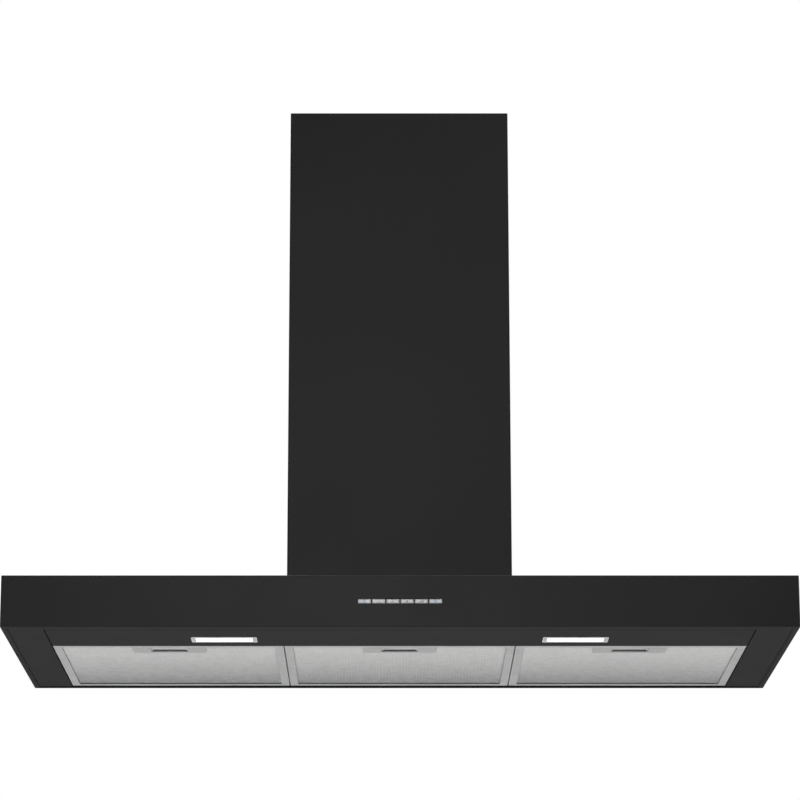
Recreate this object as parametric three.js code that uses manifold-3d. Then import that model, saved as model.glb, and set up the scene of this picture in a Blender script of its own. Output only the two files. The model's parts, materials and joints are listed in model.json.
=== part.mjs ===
// Wall-mounted chimney range hood: a wide, low canopy with three grease filters, a light panel and a row
// of push buttons, and a two-piece chimney over the blower.
// Millimetres, +X right, +Y to the wall, +Z up. The origin is under the middle of the hood.
import * as THREE from 'three';
import { mergeVertices } from 'three/addons/utils/BufferGeometryUtils.js';
import Module from 'manifold-3d';

// Overall sizes
const hoodWidth = 1200;
const hoodDepth = 500;
const hoodHeight = 905;
const canopyHeight = 80;
const chimneyWidth = 355;
const chimneyDepth = 270;
const upperChimneyLength = 430;

// Sheet steel and clearances
const sheet = 1;
const foldRadius = 2;
const gap = 0.3;
const slideGap = 0.8;

// Underside
const lipWidth = 9;
const trayOverlap = 4;
const trayFace = 1.3;
const trayFlange = 12;
const sideBand = 63;
const frontBand = 25;
const rearBand = 13;
const panelDepth = 125;
const panelGap = 1.3;

// Lamps
const lampWidth = 100;
const lampDepth = 38;
const lampSpacing = 536;
const lampFromPanelFront = 70.5;
const lensWidth = 86;
const lensDepth = 27;
const lampBodyHeight = 18;
const lampRim = 1;

// Grease filters
const filterCount = 3;
const filterSeam = 1.2;
const filterThickness = 10;
const filterBand = 13;
const filterDrop = 0.7;
const meshThickness = 6;

// Filter handles and latches
const handleWidth = 114;
const handleDepth = 46;
const pocketWidth = 64;
const slotWidth = 57;
const slotDepth = 10;
const slotFromFront = 26;
const recessRim = 3.5;
const latchPlate = 1.5;
const latchReach = 6;
const latchTravel = 6.5;
const tongueWidth = 30;
const springWire = 0.35;
const springRadius = 1.35;
const springTurns = 6;

// Push buttons
const buttonCount = 6;
const buttonWidth = 19.8;
const buttonHeight = 7.1;
const buttonPitch = 21.4;
const buttonDepth = 7;
const buttonTravel = 1.5;
const buttonClearance = 0.3;
const carrierDepth = 9;

// Blower
const blowerSetBack = 135;
const impellerRadius = 70;
const impellerWidth = 100;
const bladeCount = 24;
const bladeDepth = 12;
const shaftRadius = 4;
const scrollStart = 76;
const scrollGrowth = 42;
const scrollWidth = 130;
const motorRadius = 40;
const motorLength = 84;
const inletRadius = 57;

// Blower box and outlet
const boxWidth = 330;
const boxMargin = 18;
const boxHeight = 260;
const collarRadius = 75;
const collarHeight = 60;
const collarWall = 2;
const flapThickness = 1;
const flapPin = 1.5;

// Wall brackets
const bracketSpacing = 800;
const bracketWidth = 60;
const fixingWidth = 24;
const fixingHeight = 8;
const fixingZ = 38;

// Electronics
const electronicsWidth = 160;
const electronicsDepth = 90;
const electronicsHeight = 42;

// Finishes: colour, roughness, metalness
const blackPaint = [0x2b2b2c, 0.5, 0.1];
const galvanised = [0xa9adb0, 0.45, 0.85];
const aluminium = [0xc3c5c6, 0.35, 0.9];
const satinPlastic = [0xd9dbdd, 0.4, 0.0];
const whiteDiffuser = [0xffffff, 0.6, 0.0];
const darkPlastic = [0x1c1d1e, 0.55, 0.0];
const circuitGreen = [0x1f5a3a, 0.5, 0.0];
const springSteel = [0xb4b7ba, 0.3, 1.0];

const frontY = -hoodDepth / 2;
const wallY = hoodDepth / 2;
const halfWidth = hoodWidth / 2;

const wasm = await Module();
wasm.setup();

// Solids

function toSolid(geometry) {
  const bare = new THREE.BufferGeometry();
  bare.setAttribute('position', geometry.getAttribute('position'));
  bare.setIndex(geometry.getIndex());
  const merged = mergeVertices(bare, 1e-4);
  return new wasm.Manifold(new wasm.Mesh({
    numProp: 3,
    vertProperties: new Float32Array(merged.getAttribute('position').array),
    triVerts: new Uint32Array(merged.getIndex().array),
  }));
}

function toGeometry(solid) {
  const mesh = solid.getMesh();
  const geometry = new THREE.BufferGeometry();
  geometry.setAttribute('position', new THREE.BufferAttribute(mesh.vertProperties, 3));
  geometry.setIndex(new THREE.BufferAttribute(mesh.triVerts, 1));
  geometry.computeVertexNormals();
  return geometry;
}

function joinAll(solids) {
  return solids.reduce((whole, piece) => whole.add(piece));
}

function cutAll(solid, cutters) {
  return cutters.reduce((rest, cutter) => rest.subtract(cutter), solid);
}

// A box between two values on each axis.
function block([x0, x1], [y0, y1], [z0, z1]) {
  const geometry = new THREE.BoxGeometry(x1 - x0, y1 - y0, z1 - z0);
  geometry.translate((x0 + x1) / 2, (y0 + y1) / 2, (z0 + z1) / 2);
  return toSolid(geometry);
}

// The same box, centred on x = 0.
function wideBlock(width, ySpan, zSpan) {
  return block([-width / 2, width / 2], ySpan, zSpan);
}

// A cylinder standing on z, from low to high.
function uprightRod(radius, x, y, [low, high], sides = 32) {
  const geometry = new THREE.CylinderGeometry(radius, radius, high - low, sides);
  geometry.rotateX(Math.PI / 2);
  geometry.translate(x, y, (low + high) / 2);
  return toSolid(geometry);
}

// A cylinder lying along y, from near to far.
function deepRod(radius, x, z, [near, far], sides = 32) {
  const geometry = new THREE.CylinderGeometry(radius, radius, far - near, sides);
  geometry.translate(x, (near + far) / 2, z);
  return toSolid(geometry);
}

// A cylinder lying along x, from left to right.
function sideRod(radius, y, z, [left, right], sides = 16) {
  const geometry = new THREE.CylinderGeometry(radius, radius, right - left, sides);
  geometry.rotateZ(Math.PI / 2);
  geometry.translate((left + right) / 2, y, z);
  return toSolid(geometry);
}

function extruded(shape, length, arcSteps = 2) {
  return new THREE.ExtrudeGeometry(shape, { depth: length, bevelEnabled: false, curveSegments: arcSteps });
}

function roundedOutline([u0, u1], [v0, v1], radius) {
  const shape = new THREE.Shape();
  shape.moveTo(u0 + radius, v0);
  shape.lineTo(u1 - radius, v0);
  shape.absarc(u1 - radius, v0 + radius, radius, -Math.PI / 2, 0);
  shape.lineTo(u1, v1 - radius);
  shape.absarc(u1 - radius, v1 - radius, radius, 0, Math.PI / 2);
  shape.lineTo(u0 + radius, v1);
  shape.absarc(u0 + radius, v1 - radius, radius, Math.PI / 2, Math.PI);
  shape.lineTo(u0, v0 + radius);
  shape.absarc(u0 + radius, v0 + radius, radius, Math.PI, Math.PI * 1.5);
  shape.closePath();
  return shape;
}

// A prism standing on z with rounded upright edges.
function uprightPrism(xSpan, ySpan, [low, high], radius) {
  const geometry = extruded(roundedOutline(xSpan, ySpan, radius), high - low);
  geometry.translate(0, 0, low);
  return toSolid(geometry);
}

// A prism along y with rounded edges, from an outline in x and z.
function deepPrism(shape, [near, far]) {
  const geometry = extruded(shape, far - near);
  geometry.rotateX(Math.PI / 2);
  geometry.translate(0, far, 0);
  return toSolid(geometry);
}

// A prism along x with rounded edges, from an outline in y and z.
function sidePrism(shape, [left, right]) {
  const geometry = extruded(shape, right - left);
  const axes = [new THREE.Vector3(0, 1, 0), new THREE.Vector3(0, 0, 1), new THREE.Vector3(1, 0, 0)];
  geometry.applyMatrix4(new THREE.Matrix4().makeBasis(...axes));
  geometry.translate(left, 0, 0);
  return toSolid(geometry);
}

// A box with all of its edges rounded, as folded sheet has.
function foldedBlock(xSpan, ySpan, zSpan, radius) {
  const upright = uprightPrism(xSpan, ySpan, zSpan, radius);
  const deep = deepPrism(roundedOutline(xSpan, zSpan, radius), ySpan);
  const across = sidePrism(roundedOutline(ySpan, zSpan, radius), xSpan);
  return upright.intersect(deep).intersect(across);
}

// Nodes

const hood = new THREE.Group();

function addNode(name, solid, [color, roughness, metalness], parent = hood) {
  const material = new THREE.MeshStandardMaterial({ color, roughness, metalness });
  const mesh = new THREE.Mesh(toGeometry(solid), material);
  mesh.name = name;
  parent.add(mesh);
}

// Canopy

const openingHalf = halfWidth - sideBand;
const openingFront = frontY + frontBand;
const openingRear = wallY - rearBand;
const canopyTop = canopyHeight;
const ceiling = canopyHeight - sheet;
const chimneyFrontY = wallY - chimneyDepth;
const boxFrontY = chimneyFrontY + boxMargin;
const boxRearY = wallY - boxMargin;
const boxLip = 5;
const buttonRowZ = canopyHeight / 2;
const buttonRowWidth = (buttonCount - 1) * buttonPitch + buttonWidth;

function canopyShell() {
  const outer = foldedBlock([-halfWidth, halfWidth], [frontY, wallY], [0, canopyTop], foldRadius);
  const innerHalf = halfWidth - sheet;
  const innerDepth = [frontY + sheet, wallY - sheet];
  const inner = foldedBlock([-innerHalf, innerHalf], innerDepth, [sheet, ceiling], foldRadius - sheet);
  const mouth = wideBlock(hoodWidth - 2 * lipWidth, [frontY + lipWidth, wallY - lipWidth], [-1, 2 * sheet]);
  const airway = wideBlock(boxWidth - 2 * boxLip, [boxFrontY + boxLip, boxRearY - boxLip],
    [ceiling - 1, canopyTop + 1]);
  const windowHalf = buttonHeight / 2 + buttonClearance;
  const controlWindow = wideBlock(buttonRowWidth + 2 * buttonClearance, [frontY - 1, frontY + 2 * sheet],
    [buttonRowZ - windowHalf, buttonRowZ + windowHalf]);
  const fixings = [-1, 1].map((side) => wallFixing(side * bracketSpacing / 2));
  return cutAll(outer, [inner, mouth, airway, controlWindow, ...fixings]);
}

// The slot behind each wall bracket, where a screw passes into the wall.
function wallFixing(x) {
  return block([x - fixingWidth / 2, x + fixingWidth / 2], [wallY - 10, wallY + 1],
    [fixingZ - fixingHeight / 2, fixingZ + fixingHeight / 2]);
}

// The tray that closes the underside round the filters and the light panel, resting over the shell's lip.
function underFrame() {
  const edge = lipWidth - trayOverlap;
  const outerHalf = halfWidth - edge;
  const ySpan = [frontY + edge, wallY - edge];
  const zSpan = [trayFace, trayFace + trayFlange];
  const outer = foldedBlock([-outerHalf, outerHalf], ySpan, [trayFace, trayFace + 2 * trayFlange], sheet);
  const below = wideBlock(hoodWidth, [frontY, wallY], zSpan);
  const channel = wideBlock(2 * (outerHalf - sheet), [ySpan[0] + sheet, ySpan[1] - sheet],
    [trayFace + sheet, canopyHeight]);
  const rimHalf = openingHalf + sheet;
  const rim = wideBlock(2 * rimHalf, [openingFront - sheet, openingRear + sheet], zSpan);
  const hole = wideBlock(2 * openingHalf, [openingFront, openingRear], [-1, canopyHeight]);
  return outer.intersect(below).subtract(channel).add(rim).subtract(hole);
}

// Light panel

const panelFront = openingFront + panelGap;
const panelRear = panelFront + panelDepth;
const panelHalf = openingHalf - panelGap;
const lampY = panelFront + lampFromPanelFront - gap;
const filterFace = trayFace + filterDrop;
const latchBottom = filterFace + sheet + 0.9;
const panelRearFlangeTop = latchBottom - 0.4;
const lampBodyMargin = 2;

function lightPanel() {
  const flangeTop = trayFace + trayFlange;
  const outer = foldedBlock([-panelHalf, panelHalf], [panelFront, panelRear],
    [trayFace, flangeTop + foldRadius], sheet);
  const trimmed = outer.intersect(wideBlock(hoodWidth, [frontY, wallY], [0, flangeTop]));
  const tray = wideBlock(2 * (panelHalf - sheet), [panelFront + sheet, panelRear - sheet],
    [trayFace + sheet, canopyHeight]);
  const lowRear = wideBlock(hoodWidth, [panelRear - 2 * sheet, wallY], [panelRearFlangeTop, canopyHeight]);
  const holes = [-1, 1].map((side) => {
    const x = side * lampSpacing / 2;
    const half = lensWidth / 2 + lampBodyMargin + gap;
    const deep = lensDepth / 2 + lampBodyMargin + gap;
    return block([x - half, x + half], [lampY - deep, lampY + deep], [0, trayFace + 2 * sheet]);
  });
  return cutAll(trimmed, [tray, lowRear, ...holes]);
}

// A lamp housing has a flat bezel under the panel and a shallow can above it.
function lampHousing(x) {
  const bezel = uprightPrism([x - lampWidth / 2, x + lampWidth / 2], [lampY - lampDepth / 2, lampY + lampDepth / 2],
    [0, lampRim], 3);
  const half = lensWidth / 2 + lampBodyMargin;
  const deep = lensDepth / 2 + lampBodyMargin;
  const can = block([x - half, x + half], [lampY - deep, lampY + deep], [lampRim / 2, lampBodyHeight]);
  const lensRoom = block([x - lensWidth / 2 - gap, x + lensWidth / 2 + gap],
    [lampY - lensDepth / 2 - gap, lampY + lensDepth / 2 + gap], [-1, lampBodyHeight - 1.5]);
  return bezel.add(can).subtract(lensRoom);
}

function lampLens(x) {
  return uprightPrism([x - lensWidth / 2, x + lensWidth / 2], [lampY - lensDepth / 2, lampY + lensDepth / 2],
    [lampRim / 2, lampRim / 2 + 2.5], 1.5);
}

function addLightPanel() {
  addNode('light_panel', lightPanel(), blackPaint);
  for (const [side, x] of [['left', -lampSpacing / 2], ['right', lampSpacing / 2]]) {
    addNode(`lamp_housing_${side}`, lampHousing(x), satinPlastic);
    addNode(`lamp_lens_${side}`, lampLens(x), whiteDiffuser);
  }
  const driver = uprightPrism([-45, 45], [lampY - 18, lampY + 18], [trayFace + sheet + gap, trayFace + 24], 3);
  addNode('led_driver', driver, satinPlastic);
}

// Grease filters: each has a channel frame, a mesh pack, a handle plate and a sprung latch.

const filterFront = panelRear + panelGap;
const filterRear = openingRear - 1;
const filterWidth = (2 * panelHalf - (filterCount - 1) * filterSeam) / filterCount;
const filterTop = filterFace + filterThickness;
const handleFront = filterFront + filterBand + gap;
const handleRear = handleFront + handleDepth;
const handleFace = filterFace + 0.4;
const slotFront = handleFront + slotFromFront;
const latchTop = latchBottom + latchPlate;
const pocketCeiling = filterTop - sheet - 1.3;
const lipRear = handleRear - sheet - latchTravel - 0.5;
const postTop = pocketCeiling - gap;
const springZ = (latchTop + pocketCeiling) / 2;
const postRear = handleFront + sheet + 3.2;
const springStop = slotFront - 4;

function filterFrame(x) {
  const half = filterWidth / 2;
  const outer = foldedBlock([x - half, x + half], [filterFront, filterRear], [filterFace, filterTop], 0.8);
  const inner = block([x - half + filterBand, x + half - filterBand],
    [filterFront + filterBand, filterRear - filterBand], [0, canopyHeight]);
  const channel = block([x - half + sheet, x + half - sheet], [filterFront + sheet, filterRear - sheet],
    [filterFace + sheet, filterTop - sheet]);
  return cutAll(outer, [inner, channel, tonguePassage(x)]);
}

function tonguePassage(x) {
  const half = tongueWidth / 2 + 0.4;
  return block([x - half, x + half], [filterFront - 1, handleFront + 2 * sheet],
    [latchBottom - 0.35, latchTop + 0.35]);
}

function filterMesh(x) {
  const half = filterWidth / 2 - sheet - 0.5;
  const low = filterFace + sheet + 0.5;
  const pack = block([x - half, x + half], [filterFront + sheet + 0.5, filterRear - sheet - 0.5],
    [low, low + meshThickness]);
  const notch = block([x - handleWidth / 2 - 0.5, x + handleWidth / 2 + 0.5], [0, 1].map(
    (end) => (end ? handleRear + 0.5 : filterFront)), [0, canopyHeight]);
  return pack.subtract(notch);
}

// The handle plate is open under the latch, and carries a pocket that guides it and a stop for its spring.
function handlePlate(x) {
  const plate = block([x - handleWidth / 2, x + handleWidth / 2], [handleFront, handleRear],
    [handleFace, handleFace + sheet]);
  const pocket = block([x - pocketWidth / 2, x + pocketWidth / 2], [handleFront, handleRear],
    [handleFace, pocketCeiling + sheet]);
  const cavity = block([x - pocketWidth / 2 + sheet, x + pocketWidth / 2 - sheet],
    [handleFront + sheet, handleRear - sheet], [handleFace + sheet, pocketCeiling]);
  const recess = block([x - slotWidth / 2, x + slotWidth / 2], [handleFront + recessRim, slotFront + slotDepth],
    [0, handleFace + 2 * sheet]);
  const stop = block([x - 4, x + 4], [springStop, springStop + 1.2], [latchTop + gap, pocketCeiling + sheet / 2]);
  return cutAll(plate.add(pocket), [cavity, recess, tonguePassage(x)]).add(stop);
}

// The latch is a frame that the finger pulls to the rear through the slot, with a tongue in front.
function latchSlider(x) {
  const zSpan = [latchBottom, latchTop];
  const half = pocketWidth / 2 - sheet - 1;
  const body = block([x - half, x + half], [handleFront + sheet + 0.9, lipRear], zSpan);
  const fingerHole = block([x - half + 4, x + half - 4], [slotFront - 1, lipRear - latchPlate], [0, canopyHeight]);
  const tongue = block([x - tongueWidth / 2, x + tongueWidth / 2],
    [filterFront - latchReach, handleFront + 2 * sheet], zSpan);
  const lip = block([x - half, x + half], [lipRear - latchPlate, lipRear], [latchBottom, postTop - 1]);
  const post = block([x - 4, x + 4], [postRear - 1.5, postRear], [latchBottom, postTop]);
  return joinAll([body.subtract(fingerHole), tongue, lip, post]);
}

class SpringCurve extends THREE.Curve {
  constructor(radius, turns, x, z, near, far) {
    super();
    Object.assign(this, { radius, turns, x, z, near, far });
  }

  getPoint(t, target = new THREE.Vector3()) {
    const angle = 2 * Math.PI * this.turns * t;
    return target.set(
      this.x + this.radius * Math.cos(angle),
      this.near + (this.far - this.near) * t,
      this.z + this.radius * Math.sin(angle),
    );
  }
}

function latchSpring(x) {
  const room = springWire + gap;
  const path = new SpringCurve(springRadius, springTurns, x, springZ, postRear + room, springStop - room);
  const wire = new THREE.Shape();
  wire.absarc(0, 0, springWire, 0, 2 * Math.PI);
  const coil = new THREE.ExtrudeGeometry(wire, { extrudePath: path, steps: springTurns * 8, curveSegments: 3 });
  return toSolid(coil);
}

function addFilters() {
  const names = ['left', 'centre', 'right'];
  const pitch = filterWidth + filterSeam;
  names.forEach((place, index) => {
    const x = (index - (filterCount - 1) / 2) * pitch;
    addNode(`filter_frame_${place}`, filterFrame(x), aluminium);
    addNode(`filter_mesh_${place}`, filterMesh(x), aluminium);
    addNode(`handle_plate_${place}`, handlePlate(x), aluminium);
    addNode(`latch_${place}`, latchSlider(x), galvanised);
    addNode(`latch_spring_${place}`, latchSpring(x), springSteel);
  });
}

// Controls

const buttonBack = frontY + buttonDepth;
const carrierFront = frontY + sheet + gap;
const carrierBack = carrierFront + carrierDepth;
const carrierMargin = 10;
const flangeHeight = 1.2;

function buttonX(index) {
  return (index - (buttonCount - 1) / 2) * buttonPitch;
}

// A button has a rounded cap and, behind it, a stem that reaches its switch.
function pushButton(x) {
  const xSpan = [x - buttonWidth / 2, x + buttonWidth / 2];
  const zSpan = [buttonRowZ - buttonHeight / 2, buttonRowZ + buttonHeight / 2];
  const cap = foldedBlock(xSpan, [frontY, buttonBack], zSpan, 0.6);
  const stem = block([x - 2, x + 2], [buttonBack - 1, carrierBack - gap], [buttonRowZ - 1.5, buttonRowZ + 1.5]);
  return cap.add(stem);
}

function buttonCarrier() {
  const half = buttonRowWidth / 2 + carrierMargin;
  const tall = buttonHeight / 2 + carrierMargin;
  const body = block([-half, half], [carrierFront, carrierBack], [buttonRowZ - tall, buttonRowZ + tall]);
  const pockets = Array.from({ length: buttonCount }, (_, index) => {
    const x = buttonX(index);
    const wide = buttonWidth / 2 + buttonClearance;
    const high = buttonHeight / 2 + buttonClearance;
    return block([x - wide, x + wide], [frontY, carrierBack + 1], [buttonRowZ - high, buttonRowZ + high]);
  });
  return cutAll(body, pockets);
}

function controlBoard() {
  const half = buttonRowWidth / 2 + carrierMargin;
  const near = carrierBack + buttonTravel + gap;
  const board = block([-half, half], [near, near + 1.6], [buttonRowZ - 18, buttonRowZ + 18]);
  const chip = block([-12, 12], [near + 1, near + 4], [buttonRowZ - 7, buttonRowZ + 7]);
  const socket = block([40, 62], [near + 1, near + 9], [buttonRowZ - 5, buttonRowZ + 5]);
  const posts = [-1, 1].map((side) => {
    const x = side * (half - 4);
    return block([x - 3, x + 3], [carrierBack + gap, near + 0.5], [buttonRowZ + 4, buttonRowZ + 10]);
  });
  return joinAll([board, chip, socket, ...posts]);
}

function addControls() {
  addNode('button_carrier', buttonCarrier(), darkPlastic);
  addNode('control_board', controlBoard(), circuitGreen);
  for (let index = 0; index < buttonCount; index += 1) {
    addNode(`button_${index + 1}`, pushButton(buttonX(index)), satinPlastic);
  }
}

// Electronics in a box under the top of the canopy, to the left of the airway.

function addElectronics() {
  const xSpan = [-halfWidth + sideBand + 60, -halfWidth + sideBand + 60 + electronicsWidth];
  const ySpan = [frontY + frontBand + 20, frontY + frontBand + 20 + electronicsDepth];
  const top = ceiling - gap;
  const low = top - electronicsHeight;
  const inset = ([low0, high0], by) => [low0 + by, high0 - by];
  const outer = block(xSpan, ySpan, [low, top]);
  const room = block(inset(xSpan, 2), inset(ySpan, 2), [low - 1, top - 2]);
  addNode('electronics_box', outer.subtract(room), darkPlastic);
  const cover = block(xSpan, ySpan, [low - gap - 2, low - gap]);
  addNode('electronics_cover', cover, darkPlastic);
  const boardZ = low + 5;
  const board = block(inset(xSpan, 5), inset(ySpan, 5), [boardZ, boardZ + 1.6]);
  const relays = [0, 1, 2].map((index) => {
    const x = xSpan[0] + 30 + 26 * index;
    return block([x - 9, x + 9], [ySpan[0] + 12, ySpan[0] + 28], [boardZ + 1, boardZ + 17]);
  });
  addNode('power_board', joinAll([board, ...relays]), circuitGreen);
  const transformerSpan = [xSpan[1] - 52, xSpan[1] - 10];
  const transformer = block(transformerSpan, [ySpan[0] + 38, ySpan[1] - 10], [boardZ + 1.6 + gap, top - 5]);
  addNode('transformer', transformer, galvanised);
}

// Blower: a wheel on a motor in the mouth of a scroll, inside a box that stands on the canopy.

const blowerY = wallY - blowerSetBack;
const outletWidth = scrollStart + scrollGrowth;
const blowerX = -outletWidth / 2;
const boxTop = canopyTop + gap + boxHeight;
const scrollTop = boxTop - sheet - gap;
const railTop = canopyTop + gap + 7;
const scrollLow = scrollStart + scrollGrowth * 2 / 3 + sheet;
const blowerZ = railTop + gap + scrollLow;
const scrollFront = blowerY - scrollWidth / 2;
const scrollRear = blowerY + scrollWidth / 2;

// The outline grows from the cut-off at the top round to the outlet, which rises on the right.
function scrollOutline(offset, top) {
  const shape = new THREE.Shape();
  const steps = 18;
  shape.moveTo(blowerX - offset, top);
  for (let step = 0; step <= steps; step += 1) {
    const angle = Math.PI / 2 + (Math.PI * 1.5 * step) / steps;
    const radius = scrollStart + (scrollGrowth * step) / steps + offset;
    const x = blowerX + radius * Math.cos(angle);
    shape.lineTo(step === 0 ? blowerX - offset : x, blowerZ + radius * Math.sin(angle));
  }
  shape.lineTo(blowerX + outletWidth + offset, top);
  shape.closePath();
  return shape;
}

function blowerScroll() {
  const outer = deepPrism(scrollOutline(sheet, scrollTop), [scrollFront, scrollRear]);
  const inner = deepPrism(scrollOutline(0, scrollTop + 1), [scrollFront - 1, scrollRear - sheet]);
  const inlet = deepRod(inletRadius, blowerX, blowerZ, [scrollRear - 2 * sheet, scrollRear + 1], 40);
  return cutAll(outer, [inner, inlet]);
}

function scrollCover() {
  const plate = deepPrism(scrollOutline(sheet + 3, scrollTop), [scrollFront - gap - sheet, scrollFront - gap]);
  const inlet = deepRod(inletRadius, blowerX, blowerZ, [scrollFront - 3, scrollFront + 1], 40);
  return plate.subtract(inlet);
}

function impeller() {
  const near = blowerY - impellerWidth / 2;
  const far = blowerY + impellerWidth / 2;
  const ring = ([from, to]) => deepRod(impellerRadius, blowerX, blowerZ, [from, to], 36)
    .subtract(deepRod(impellerRadius - bladeDepth, blowerX, blowerZ, [from - 1, to + 1], 36));
  const disc = deepRod(impellerRadius - 1, blowerX, blowerZ, [blowerY - 0.75, blowerY + 0.75], 36);
  const boss = deepRod(12, blowerX, blowerZ, [blowerY - 0.75, blowerY + 14], 24);
  const middle = impellerRadius - bladeDepth / 2;
  const blades = Array.from({ length: bladeCount }, (_, index) => {
    const blade = new THREE.BoxGeometry(bladeDepth - 1, impellerWidth - 1, 1);
    blade.rotateY(0.6);
    blade.translate(middle, 0, 0);
    blade.rotateY((2 * Math.PI * index) / bladeCount);
    blade.translate(blowerX, blowerY, blowerZ);
    return toSolid(blade);
  });
  const bore = deepRod(shaftRadius + gap, blowerX, blowerZ, [blowerY - 5, blowerY + 20], 24);
  return joinAll([disc, boss, ring([near, near + 1.5]), ring([far - 1.5, far]), ...blades]).subtract(bore);
}

const motorRear = blowerY - 7;
const motorFront = motorRear - motorLength;

function motor() {
  const round = 5;
  const profile = [
    new THREE.Vector2(0, 0),
    new THREE.Vector2(motorRadius - round, 0),
    new THREE.Vector2(motorRadius - round * 0.29, round * 0.29),
    new THREE.Vector2(motorRadius, round),
    new THREE.Vector2(motorRadius, motorLength - round),
    new THREE.Vector2(motorRadius - round * 0.29, motorLength - round * 0.29),
    new THREE.Vector2(motorRadius - round, motorLength),
    new THREE.Vector2(0, motorLength),
  ];
  const geometry = new THREE.LatheGeometry(profile, 32);
  geometry.translate(blowerX, motorFront, blowerZ);
  const bore = deepRod(shaftRadius + gap, blowerX, blowerZ, [motorRear - 24, motorRear + 1], 24);
  return toSolid(geometry).subtract(bore);
}

// A ring round the motor with three arms that reach the scroll's cover.
function motorBracket() {
  const far = scrollFront - 2 * gap - sheet;
  const ring = deepRod(motorRadius + 4, blowerX, blowerZ, [far - 12, far], 40);
  const arms = [0, 1, 2].map((index) => {
    const arm = new THREE.BoxGeometry(inletRadius + 10, 2, 14);
    arm.translate((inletRadius + 10) / 2, 0, 0);
    arm.rotateY((2 * Math.PI * index) / 3 + Math.PI / 6);
    arm.translate(blowerX, far - 1, blowerZ);
    return toSolid(arm);
  });
  const bore = deepRod(motorRadius + gap, blowerX, blowerZ, [far - 20, far + 5], 40);
  return joinAll([ring, ...arms]).subtract(bore);
}

function blowerBox() {
  const top = boxTop;
  const low = canopyTop + gap;
  const outer = wideBlock(boxWidth, [boxFrontY, boxRearY], [low, top]);
  const inner = wideBlock(boxWidth - 2 * sheet, [boxFrontY + sheet, boxRearY - sheet], [low - 1, top - sheet]);
  const outlet = wideBlock(outletWidth, [scrollFront + sheet, scrollRear - sheet], [top - 3, top + 1]);
  const glandHole = uprightRod(9, glandX, glandY, [top - 3, top + 1], 24);
  return cutAll(outer, [inner, outlet, glandHole]);
}

const glandX = -boxWidth / 2 + 30;
const glandY = boxFrontY + 30;

// The inlet for the mains cord, in the top of the blower box.
function cableGland() {
  const zero = boxTop - sheet - 12;
  const bore = 4.5;
  const profile = [
    [bore, 0], [8.6, 0], [8.6, 12 + sheet + gap], [13, 12 + sheet + gap], [13, 22 + sheet], [10, 34], [bore, 34],
  ].map(([radius, height]) => new THREE.Vector2(radius, height));
  profile.push(profile[0].clone());
  const geometry = new THREE.LatheGeometry(profile, 24);
  geometry.rotateX(Math.PI / 2);
  geometry.translate(glandX, glandY, zero);
  return toSolid(geometry);
}

function addBlower() {
  addNode('blower_box', blowerBox(), galvanised);
  addNode('blower_scroll', blowerScroll(), galvanised);
  addNode('scroll_cover', scrollCover(), galvanised);
  addNode('impeller', impeller(), darkPlastic);
  addNode('motor_shaft', deepRod(shaftRadius, blowerX, blowerZ, [motorRear - 20, blowerY + 18], 24), springSteel);
  addNode('motor', motor(), galvanised);
  addNode('motor_bracket', motorBracket(), galvanised);
  const railSpan = boxWidth - 2 * (sheet + gap);
  for (const [place, y] of [['front', scrollFront + 20], ['rear', scrollRear - 20]]) {
    const rail = wideBlock(railSpan, [y - 12, y + 12], [canopyTop + gap, railTop]);
    const groove = wideBlock(railSpan + 2, [y - 10.5, y + 10.5], [0, railTop - 1.5]);
    addNode(`blower_rail_${place}`, rail.subtract(groove), galvanised);
  }
  const capacitor = deepRod(17, boxWidth / 2 - 30, boxTop - 60, [boxFrontY + 15, boxFrontY + 80], 24);
  addNode('run_capacitor', capacitor, satinPlastic);
  addNode('cable_gland', cableGland(), darkPlastic);
}

// Wiring looms, clipped along the inside of the canopy.

function loom(points, radius) {
  const path = new THREE.CatmullRomCurve3(points.map((point) => new THREE.Vector3(...point)));
  const section = new THREE.Shape();
  section.absarc(0, 0, radius, 0, 2 * Math.PI);
  const tube = new THREE.ExtrudeGeometry(section, { extrudePath: path, steps: 24, curveSegments: 4 });
  return toSolid(tube);
}

function addLooms() {
  const boxSide = -halfWidth + sideBand + 60 + electronicsWidth + gap;
  const loomZ = ceiling - 17;
  const boardSocketY = carrierBack + buttonTravel + gap + 9 + gap;
  const buttonRun = [
    [51, boardSocketY, buttonRowZ],
    [51, boardSocketY + 5, buttonRowZ],
    [42, boardSocketY + 16, buttonRowZ + 6],
    [10, boardSocketY + 22, loomZ],
    [-180, boardSocketY + 45, loomZ],
    [boxSide + 20, frontY + 80, loomZ],
    [boxSide, frontY + 80, loomZ],
  ];
  addNode('button_loom', loom(buttonRun, 2), darkPlastic);
  const motorRun = [
    [blowerX, motorFront - gap, blowerZ - 12],
    [blowerX, motorFront - 4, blowerZ - 12],
    [blowerX, motorFront - 9, blowerZ - 22],
    [blowerX - 3, boxFrontY + 16, blowerZ - 60],
    [blowerX - 6, boxFrontY + 15, canopyTop + 12],
    [blowerX - 12, boxFrontY + 12, loomZ],
    [blowerX - 60, boxFrontY - 40, loomZ - 2],
    [boxSide + 40, frontY + 100, loomZ],
    [boxSide, frontY + 100, loomZ],
  ];
  addNode('motor_loom', loom(motorRun, 2.5), darkPlastic);
}

// Outlet collar with two backdraught flaps on a pin across it.

const collarLow = boxTop + gap;
const collarTop = collarLow + collarHeight;
const flapZ = collarLow + 25;
const collarInner = collarRadius - collarWall;
const knuckleRadius = 3.2;
const knuckleLength = 10;
const flapStart = 3.6;

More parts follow.
